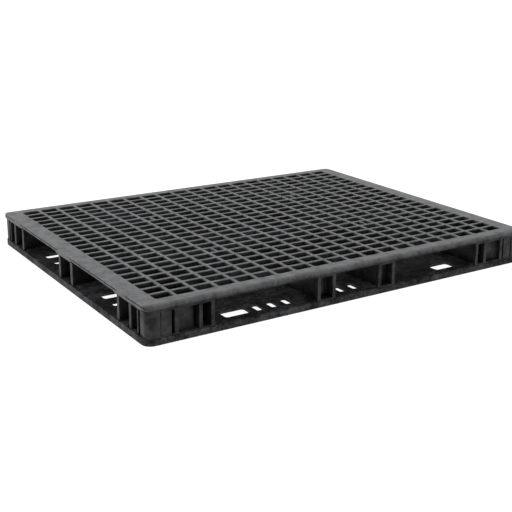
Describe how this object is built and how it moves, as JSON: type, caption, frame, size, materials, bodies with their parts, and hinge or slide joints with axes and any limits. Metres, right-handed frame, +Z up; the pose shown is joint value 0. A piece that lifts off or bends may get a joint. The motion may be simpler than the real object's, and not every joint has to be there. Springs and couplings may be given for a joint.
{
  "type": "plastic pallet",
  "caption": "Black moulded plastic pallet with an open grid deck, ribbed blocks between deck and slotted base, and fork entry from all sides.",
  "frame": {"origin": "middle of the underside, on the floor", "axes": "+X along the long side, +Y along the short side, +Z up to the deck"},
  "size_m": [1.422, 1.118, 0.114],
  "materials": {
    "deck_hdpe": "moulded black recycled HDPE, satin, flow marked",
    "block_hdpe": "moulded black recycled HDPE, satin",
    "base_hdpe": "moulded black recycled HDPE, matt, scuffed",
    "bar_steel": "galvanised flat bar",
    "screw_steel": "zinc plated"
  },
  "bodies": {
    "root": {"top_deck": "deck_hdpe", "bottom_deck": "base_hdpe", "front_left_corner_block": "block_hdpe", "front_right_corner_block": "block_hdpe", "rear_left_corner_block": "block_hdpe", "rear_right_corner_block": "block_hdpe", "front_left_inner_block": "block_hdpe", "front_right_inner_block": "block_hdpe", "rear_left_inner_block": "block_hdpe", "rear_right_inner_block": "block_hdpe", "left_side_block": "block_hdpe", "right_side_block": "block_hdpe", "left_centre_block": "block_hdpe", "right_centre_block": "block_hdpe", "front_deck_bar": "bar_steel", "rear_deck_bar": "bar_steel", "left_deck_bar": "bar_steel", "right_deck_bar": "bar_steel", "front_base_bar": "bar_steel", "rear_base_bar": "bar_steel", "left_base_bar": "bar_steel", "right_base_bar": "bar_steel", "block_screws": "screw_steel"}
  },
  "joints": []
}
